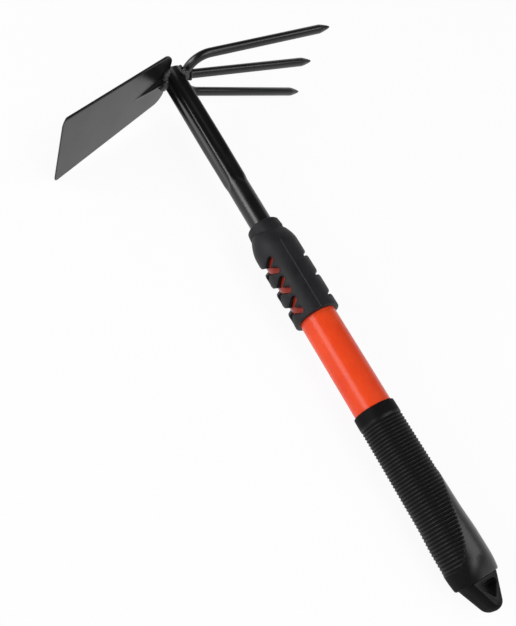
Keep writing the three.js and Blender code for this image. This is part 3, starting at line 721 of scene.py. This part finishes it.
collar = {
    "rear": 183.5,
    "front": 252.5,
    "diameter": 28.9,
    "neckDiameter": 22.6,
    "mouthDiameter": 21.4,
    "neckLength": 5.5,
    "shoulderLength": 12,
    "archDrop": 3.6,
    "creaseDepth": 0.45,
    "creaseWidth": 1.1,
    "creaseHalfDegrees": 58,
    "creaseFadeDegrees": 14,
    "lip": 2.2,
    "endRounding": 0.6,
    "mouthRounding": 0.5,
    "mouthLength": 0.7,
    "seamHeight": 0.42,
    "seamHalfWidth": 0.55,
    "seamDegrees": 76,  # on both sides of the window panel's middle
    "seamFrom": 0.6,  # share of the shoulder's length where it starts to rise
    "firstRow": 222,
    "rows": 3,
    "pitch": 14.6,
    "windowSlope": 0.13,  # mm up for each degree round
    "windowWidths": (3.4, 4.6),  # at the core and at the surface
    "windowCentreDegrees": 177,
    "longArmDegrees": (114, 207),
    "shortArmDegrees": (152, 207),
    "grooveWidth": 2.3,
    "grooveDepth": 1.8,
    "grooveWall": (-0.35, 0.1),  # from full depth to none, in mm past half the width
    "grooveSlope": 0.122,
    "grooveCrossDegrees": 322,  # where a groove crosses its row's height
    "grooveReachDegrees": 70,
    "grooveFadeDegrees": 12,
    "lipRoll": 0.3,  # how far the soft edge of a window or groove rolls in
    "lipReach": 1.3,
    "cutterOverrun": 1,
    "sides": 300,
    "rowsOfFaces": 260,
    "armPoints": 25,
    "armEndPoints": 9,
    "sharpDegrees": 38,
}
rowHeights = [collar["firstRow"] - i * collar["pitch"] for i in range(collar["rows"])]
perDegree = collar["diameter"] / 2 * pi / 180  # mm round the collar


def windowArms(middle):  # each arm: the angle and height of both its ends
    centre, slope = collar["windowCentreDegrees"], collar["windowSlope"]
    for (low, high), rise in ((collar["longArmDegrees"], slope), (collar["shortArmDegrees"], -slope)):
        yield (low, middle + (centre - low) * rise), (high, middle + (centre - high) * rise)


def armGap(degrees, z, ends):  # mm from an arm's middle line, over the unrolled surface
    (low, lowZ), (high, highZ) = ends
    run = np.array([(high - low) * perDegree, highZ - lowZ])
    aside, up = (degrees - low) * perDegree, z - lowZ
    share = np.clip((aside * run[0] + up * run[1]) / (run @ run), 0, 1)
    return np.hypot(aside - share * run[0], up - share * run[1])


def grooveGap(degrees, z, middle):  # mm from a chevron's middle line, and its fade toward both ends
    fromTineSide = np.abs((degrees + 180) % 360 - 180)
    rise = (360 - collar["grooveCrossDegrees"] - fromTineSide) * collar["grooveSlope"]
    slant = cos(atan(collar["grooveSlope"] / perDegree))
    reach = collar["grooveReachDegrees"]
    fade = 1 - ease(fromTineSide, reach - collar["grooveFadeDegrees"], reach)
    return np.abs(z - middle - rise) * slant, fade


def collarRadius(z, angle):
    degrees = np.degrees(angle)
    front = collar["front"]
    top = front - collar["neckLength"] - collar["archDrop"] * np.sin(angle) ** 2
    down = np.clip((top - z) / collar["shoulderLength"], 0, 1)
    neckRun = min((front - z) / collar["neckLength"], 1)
    neck = blend(collar["mouthDiameter"], collar["neckDiameter"], neckRun) / 2
    radius = blend(neck, collar["diameter"] / 2, np.sin(down * pi / 2))
    fromPanel = np.degrees(np.arcsin(np.abs(np.sin(angle))))
    panelEdge = collar["creaseHalfDegrees"]
    inPanel = 1 - ease(fromPanel, panelEdge - collar["creaseFadeDegrees"], panelEdge)
    radius -= collar["creaseDepth"] * inPanel * np.exp(-((z - top) / collar["creaseWidth"]) ** 2)
    rear = np.clip(1 - (z - collar["rear"]) / collar["endRounding"], 0, 1)
    radius -= collar["endRounding"] * (1 - np.sqrt(1 - rear ** 2))
    radius -= collar["mouthRounding"] * ease(z, front - collar["mouthLength"], front)
    fromSeam = np.abs(np.abs(degrees - 180) - collar["seamDegrees"]) * radius * pi / 180
    seam = collar["seamHeight"] * (1 - ease(fromSeam, 0, collar["seamHalfWidth"]))
    radius += seam * ease(down, collar["seamFrom"], 1)
    for middle in rowHeights:
        gap = np.min([armGap(degrees, z, ends) for ends in windowArms(middle)], 0)
        past = gap - collar["windowWidths"][1] / 2
        radius -= collar["lipRoll"] * (1 - ease(past, 0, collar["lipReach"]))
        gap, fade = grooveGap(degrees, z, middle)
        past = gap - collar["grooveWidth"] / 2
        cut = 1 - ease(past, *collar["grooveWall"])
        roll = 1 - ease(past, 0, collar["lipReach"])
        radius -= fade * np.maximum(collar["grooveDepth"] * cut, collar["lipRoll"] * roll)
    return radius


def windowCutter(ends):  # a channel along the arm, wider outside than at the core
    low, high = np.array(ends)
    surface, floor, over = collar["diameter"] / 2, core["diameter"] / 2, collar["cutterOverrun"]
    run, climb = (high[0] - low[0]) * perDegree, high[1] - low[1]
    span = hypot(run, climb)
    along = (high - low) / span  # degrees and mm for each mm
    across = np.array([-climb / span / perDegree, run / span])
    narrow, wide = np.array(collar["windowWidths"]) / 2
    wide = blend(narrow, wide, (surface + over - floor) / (surface - floor))
    rings = []
    for radius, half in ((floor - over, narrow), (floor, narrow), (surface + over, wide)):
        outline = []
        for side, tip in ((1, high), (-1, low)):
            outline += [low + along * span * step + across * half * side
                        for step in np.linspace(0, 1, collar["armPoints"])[::side]]
            outline += [tip + across * half * cos(turn) * side + along * half * sin(turn) * side
                        for turn in np.linspace(0, pi, collar["armEndPoints"] + 2)[1:-1]]
        degrees, z = np.transpose(outline)
        turns = np.radians(degrees)
        rings.append(np.stack([radius * np.cos(turns), radius * np.sin(turns), z], 1))
    return stripCapped(rings, collar["armPoints"], collar["armEndPoints"])


def makeFrontCollar():
    rear, front, play = collar["rear"], collar["front"], core["seatPlay"]
    outside = [levelRing(z, collar, lambda a: collarRadius(z, a))
               for z in np.linspace(rear, front, collar["rowsOfFaces"])]
    bore = revolve([
        (core["shaftBore"], front),
        (core["shaftBore"], front - collar["lip"]),
        (core["noseDiameter"] + play, front - collar["lip"]),
        (core["noseDiameter"] + play, core["noseBase"]),
        (core["diameter"] + play, core["taperBase"]),
        (core["diameter"] + play, rear),
    ], collar)
    piece = objectFrom("frontCollar", loftRings(outside + bore, closed=True))
    arms = [ends for middle in rowHeights for ends in windowArms(middle)]
    combine(piece, "DIFFERENCE", [windowCutter(ends) for ends in arms])
    dressPiece(piece, "charcoalRubber", ["front_collar"], collar)


# Rear grip: ribbed all round in front, with a smooth field on the tine side toward the butt

grip = {
    "rear": 16.6,
    "front": 119.7,
    "frontDiameter": 25.4,
    "waistDiameter": 26.5,
    "waistSetback": 39,
    "bellySize": (28.56, 26.74),  # width and depth
    "bellyStart": 12.4,
    "bellyEnd": 20,
    "endSize": (27, 17),
    "endSquareness": 0.8,
    "rimRounding": 0.8,
    "ribPitch": 2,
    "ribDepth": 0.58,
    "groovePower": 0.8,  # below 1, the grooves are wider than the crests between them
    "ribsFrontSetback": 6.7,
    "ribsRearSetback": 9,
    "smoothFieldLength": 53,
    "tongueHalfDegrees": 118,
    "tonguePower": 0.27,
    "apexPower": 6,
    "ribEndFadeDegrees": 7,
    "polishDegrees": (45, 85),  # from the spine, where the polish comes in
    "crestPolish": 0.45,
    "frontRounding": 0.5,
    "rimRings": 8,
    "buttRings": 13,
    "ringsPerRib": 8,
    "plainRings": 4,
    "frontRings": 5,
    "sides": 200,
    "sharpDegrees": 60,
}


def gripSize(z):  # width, depth, and the power of its outline: 2 is an ellipse, more is squarer
    fromRear, waist = z - grip["rear"], grip["waistSetback"]
    end, belly = np.array([grip["endSize"], grip["bellySize"]])
    if fromRear < grip["bellyStart"]:
        swell = sin(fromRear / grip["bellyStart"] * pi / 2)
        return *blend(end, belly, swell), 2 + grip["endSquareness"] * (1 - swell)
    if fromRear < waist:
        share = ease(fromRear, grip["bellyEnd"], waist)
        return *blend(belly, grip["waistDiameter"], share), 2
    share = (fromRear - waist) / (grip["front"] - grip["rear"] - waist)
    diameter = blend(grip["waistDiameter"], grip["frontDiameter"], share)
    return diameter, diameter, 2


def gripRadius(z, angle):
    width, depth, power = gripSize(z)
    across = np.abs(2 * np.cos(angle) / width) ** power
    through = np.abs(2 * np.sin(angle) / depth) ** power
    return (across + through) ** (-1 / power)


def fromSpine(angle):  # degrees round from the spine, the middle of the blade side
    return np.abs(np.degrees(angle) % 360 - 180)


def smoothShare(z, angle):  # 0 among the ribs, 1 on the smooth field beside them
    share = np.clip((z - grip["rear"] - grip["ribsRearSetback"]) / grip["smoothFieldLength"], 0, 1)
    tongue = grip["tongueHalfDegrees"]
    half = tongue * share ** grip["tonguePower"] + (180 - tongue) * share ** grip["apexPower"]
    return np.where(share < 1, ease(fromSpine(angle), half - grip["ribEndFadeDegrees"], half), 0)


def ribSpan():
    return grip["rear"] + grip["ribsRearSetback"], grip["front"] - grip["ribsFrontSetback"]


def ribGroove(z, angle):
    start, end = ribSpan()
    if not start <= z <= end:
        return np.zeros_like(angle)
    wave = 0.5 - 0.5 * cos((z - start) / grip["ribPitch"] * 2 * pi)
    return grip["ribDepth"] * wave ** grip["groovePower"] * (1 - smoothShare(z, angle))


def gripPolish(x, y, z):  # the smooth field is polished in the mould, the ribs' crests by use
    angle = np.arctan2(y, x)
    smooth = smoothShare(z, angle)
    start, end = ribSpan()
    crest = (0.5 + 0.5 * np.cos((z - start) / grip["ribPitch"] * 2 * pi)) * (z > start) * (z < end)
    worn = grip["crestPolish"] * crest ** 2 * (1 - smooth)
    return smooth * ease(fromSpine(angle), *grip["polishDegrees"]) + worn


def makeRearGrip():
    rear, front, play = grip["rear"], grip["front"], core["seatPlay"]
    rim, end = grip["rimRounding"], grip["frontRounding"]
    ribsRear, ribsEnd = ribSpan()
    ribCount = int((ribsEnd - ribsRear) / grip["ribPitch"])
    ribsFront = ribsRear + ribCount * grip["ribPitch"]
    stations = [(rear + rim * (1 - cos(t)), rim * (1 - sin(t)))  # height, and how far drawn in
                for t in np.linspace(0, pi / 2, grip["rimRings"])]
    for low, high, count in (
        (rear + rim, ribsRear, grip["buttRings"]),
        (ribsRear, ribsFront, grip["ringsPerRib"] * ribCount),
        (ribsFront, front - end, grip["plainRings"]),
    ):
        stations += [(z, 0) for z in np.linspace(low, high, count + 1)[1:]]
    stations += [(front - end * (1 - sin(t)), end * (1 - cos(t)))
                 for t in np.linspace(0, pi / 2, grip["frontRings"] + 1)[1:]]
    outside = [levelRing(z, grip, lambda a: gripRadius(z, a) - ribGroove(z, a) - inward)
               for z, inward in stations]
    seat, floor, narrow = core["gripDiameter"] + play, core["rear"] - play, core["spigotBore"]
    bore = [(seat, front), (seat, floor), (narrow, floor), (narrow, rear)]
    piece = objectFrom("rearGrip", loftRings(outside + revolve(bore, grip), closed=True))
    markShare(piece, "polished", gripPolish)
    dressPiece(piece, "blackRubber", ["rear_grip"], grip)


# End piece: an eye with flat sides and a rounded three-cornered hang hole, and its spigot

loop = {
    "length": 16.6,
    "width": 21.3,
    "depth": 15.4,
    "noseRadius": 5.2,
    "rounding": 2.8,
    "roundingDepth": 6.2,  # the edge is rounded further along the eye's depth than across it
    "noseShare": 0.84,  # how deep the eye still is at its nose
    "taperEnd": 15,
    "top": 16.5,
    "holeTop": 14.6,
    "holeHeight": 8.2,
    "holeWidth": 10.8,
    "holeTipRadius": 1.1,
    "holeCornerRadius": 1.6,
    "holeEdge": 0.35,
    "spigotDiameter": 12,
    "spigotFromHole": 0.8,
    "spigotEnd": 48.6,
    "spigotChamfer": 1,
    "sides": 64,  # of the spigot
    "bandEdge": (0.94, 0.995),  # shares of the depth between which the polish comes in
    "topPoints": 24,
    "flankPoints": 24,
    "nosePoints": 28,
    "edgeRings": 4,
    "roundingRings": 15,
    "sharpDegrees": 40,
}


def straight(start, end, count):  # count points from the start on, without the end
    return [(blend(start[0], end[0], s), blend(start[1], end[1], s))
            for s in np.linspace(0, 1, count + 1)[:-1]]


def onCircle(x, z, radius, turn):
    return x + radius * cos(turn), z + radius * sin(turn)


def arc(x, z, radius, start, end, count):  # the same along a circle round x and z
    return [onCircle(x, z, radius, turn) for turn in np.linspace(start, end, count + 1)[:-1]]


def eyeOutline(grow):  # anticlockwise from the top right: over the top, down, round the nose, up
    nose, side = loop["noseRadius"], loop["width"] / 2
    climb = loop["length"] - nose
    flare = atan2(side, climb) - asin(nose / hypot(side, climb))
    radius = nose - loop["rounding"] + grow
    x, z = onCircle(0, nose, radius, -flare)
    corner = x + (loop["top"] - z) * tan(flare)
    leftCorner, rightCorner = (-corner, loop["top"]), (corner, loop["top"])
    return np.array(straight(rightCorner, leftCorner, loop["topPoints"])
                    + straight(leftCorner, (-x, z), loop["flankPoints"])
                    + arc(0, nose, radius, pi + flare, 2 * pi - flare, loop["nosePoints"])
                    + straight((x, z), rightCorner, loop["flankPoints"]))


def holeOutline(grow):
    tip, corner = loop["holeTipRadius"], loop["holeCornerRadius"]
    tipZ = loop["holeTop"] - loop["holeHeight"] + tip
    cornerX, cornerZ = loop["holeWidth"] / 2 - corner, loop["holeTop"] - corner
    run = hypot(cornerX, cornerZ - tipZ)
    side = atan2(cornerZ - tipZ, cornerX) - pi / 2 - asin((corner - tip) / run)
    high = onCircle(-cornerX, cornerZ, corner + grow, pi - side)
    low = onCircle(0, tipZ, tip + grow, pi - side)
    top, half = loop["holeTop"] + grow, loop["flankPoints"] // 2
    left = arc(-cornerX, cornerZ, corner + grow, pi / 2, pi - side, half)
    left += straight(high, low, half)
    right = [(-x, z) for x, z in (left + [low])[:0:-1]]
    return np.array(straight((cornerX, top), (-cornerX, top), loop["topPoints"]) + left
                    + arc(0, tipZ, tip + grow, pi - side, 2 * pi + side, loop["nosePoints"])
                    + right)


def depthShare(z):  # the eye is thinner toward its nose
    return blend(loop["noseShare"], 1, np.clip(z / loop["taperEnd"], 0, 1))


def eyeRing(outline, y):
    x, z = outline.T
    return np.stack([x, y * depthShare(z), z], 1)


def bandPolish(x, y, z):  # the flat band round the hang hole is polished, the rounded sides are dull
    flat = loop["depth"] / 2 * depthShare(z)
    return ease(np.abs(y) / flat, *loop["bandEdge"]) * (z < grip["rear"])


def makeEndLoop():
    half, edge = loop["depth"] / 2, loop["holeEdge"]
    rounding, deep = loop["rounding"], loop["roundingDepth"]
    rings = [eyeRing(holeOutline(0), 0)]
    rings += [eyeRing(holeOutline(edge * (1 - cos(t))), half - edge + edge * sin(t))
              for t in np.linspace(0, pi / 2, loop["edgeRings"])]
    rings += [eyeRing(eyeOutline(rounding * sin(t)), half - deep + deep * cos(t))
              for t in np.linspace(0, pi / 2, loop["roundingRings"])]
    rings.append(eyeRing(eyeOutline(rounding), 0))
    rings += [ring * (1, -1, 1) for ring in rings[-2:0:-1]]
    piece = objectFrom("endLoop", loftRings(rings, closed=True))
    wide, end, chamfer = loop["spigotDiameter"], loop["spigotEnd"], loop["spigotChamfer"]
    start = loop["holeTop"] + loop["spigotFromHole"]
    spigot = [(wide, start), (wide, end - chamfer), (wide - 2 * chamfer, end)]
    combine(piece, "UNION", [loftRings(revolve(spigot, loop))])
    markShare(piece, "polished", bandPolish)
    dressPiece(piece, "blackNylon", ["end_loop"], loop)


makeShaftTube()
makeHoeBlade()
makeTines("outerTines", "outer_tine_bow", bowRings())
makeTines("middleTine", "middle_tine", middleRings())
makeWelds()
print("steel head made")
makeHandleCore()
makeFrontCollar()
makeRearGrip()
makeEndLoop()
print("handle made")

# Floor, lamps and camera

studio = {
    "floorSize": 8.0,
    "floorColour": (244, 244, 247),
    "backgroundColour": (0.995, 0.995, 1.0, 1),
    "backgroundShare": 0.93,  # how much of the background's own white the camera and gloss see
    "wallColour": (0.96, 0.975, 1.0, 1),
    "wallStrength": 0.8,
    "ceilingStrength": 0.05,
    "wallFadeDegrees": (18.0, 30.0),  # how high the pale walls fade into the dim ceiling
}
lamps = {  # long: the way that the lamp's first side runs
    "windowLeft": {"toward": (-0.85, 0.34, 0.40), "long": (0.37, 0.93, 0), "distance": 1.3,
                   "size": (1.3, 0.6), "watts": 13.5},
    "fillFront": {"toward": (0.0, -0.6, 0.8), "long": (1, 0, 0), "distance": 1.6,
                  "size": (0.9, 0.7), "watts": 8.5},
    "softTop": {"toward": (0.36, -0.2, 0.9), "long": (1, 0, 0), "distance": 1.6,
                "size": (1.6, 0.5), "watts": 9.0},
}


def makeFloor():
    half = studio["floorSize"] / 2
    mesh = bpy.data.meshes.new("floor")
    corners = [(-half, -half, 0), (half, -half, 0), (half, half, 0), (-half, half, 0)]
    mesh.from_pydata(corners, [], [(0, 1, 2, 3)])
    floor = placeObject("floor", mesh)
    material = bpy.data.materials.new("floorPaper")
    material.use_nodes = True
    tree = material.node_tree
    tree.nodes.clear()
    paper = addNode(tree, "BsdfDiffuse", Color=writtenColour(studio["floorColour"]))
    white = addNode(tree, "Emission", Color=studio["backgroundColour"], Strength=1)
    path = addNode(tree, "LightPath")
    mirrored = addMath(tree, "MAXIMUM")
    seen = addMath(tree, "MAXIMUM")
    share = addMath(tree, "MULTIPLY", studio["backgroundShare"])
    mix = addNode(tree, "MixShader")
    out = addNode(tree, "OutputMaterial")
    wire(tree, (path, "Is Glossy Ray", mirrored, 0), (path, "Is Transmission Ray", mirrored, 1),
         (path, "Is Camera Ray", seen, 0), (mirrored, 0, seen, 1), (seen, 0, share, 0),
         (share, 0, mix, "Fac"), (paper, 0, mix, 1), (white, 0, mix, 2), (mix, 0, out, "Surface"))
    mesh.materials.append(material)


def makeLamps():
    for name, lamp in lamps.items():
        data = bpy.data.lights.new(name, "AREA")
        data.shape = "RECTANGLE"
        data.size, data.size_y = lamp["size"]
        data.energy = lamp["watts"]
        toward, long = Vector(lamp["toward"]).normalized(), Vector(lamp["long"])
        side = (long - toward * long.dot(toward)).normalized()
        turn = Matrix((side, toward.cross(side), toward)).transposed().to_4x4()
        placeObject(name, data).matrix_world = Matrix.Translation(toward * lamp["distance"]) @ turn


def makeWorld():
    world = bpy.data.worlds.new("softRoom")
    world.use_nodes = True
    tree = world.node_tree
    background = tree.nodes["Background"]
    background.inputs["Color"].default_value = studio["wallColour"]
    low, high = (sin(radians(angle)) for angle in studio["wallFadeDegrees"])
    way = addNode(tree, "TexCoord")
    parts = addNode(tree, "SeparateXYZ")
    wall = addNode(tree, "MapRange", {"interpolation_type": "SMOOTHSTEP"}, From_Min=low, From_Max=high,
                   To_Min=studio["wallStrength"], To_Max=studio["ceilingStrength"])
    wire(tree, (way, "Generated", parts, 0), (parts, "Z", wall, "Value"),
         (wall, "Result", background, "Strength"))
    bpy.context.scene.world = world


camera = {
    "focalPixels": 754.198,
    "imageHeight": 626,
    "sensorWidth": 36,
    "from": (-251.34, -347.92, 49.76),  # on the upright tool, mm
    "right": (0.8257, -0.3147, -0.4681),
    "down": (-0.2665, 0.5137, -0.8155),
    "forward": (0.4971, 0.7982, 0.3403),
}


def makeCamera():
    data = bpy.data.cameras.new("camera")
    data.sensor_width = camera["sensorWidth"]
    data.lens = camera["focalPixels"] * data.sensor_width / camera["imageHeight"]
    right, down, forward = (np.array(camera[side]) @ toolTurn for side in ("right", "down", "forward"))
    columns = np.stack([right, -down, -forward, layDown(camera["from"])], 1)
    made = placeObject("camera", data)
    made.matrix_world = Matrix([*columns.tolist(), (0, 0, 0, 1)])
    bpy.context.scene.camera = made


makeFloor()
makeLamps()
makeWorld()
makeCamera()
bpy.context.scene.view_settings.view_transform = "Standard"
print("studio made")
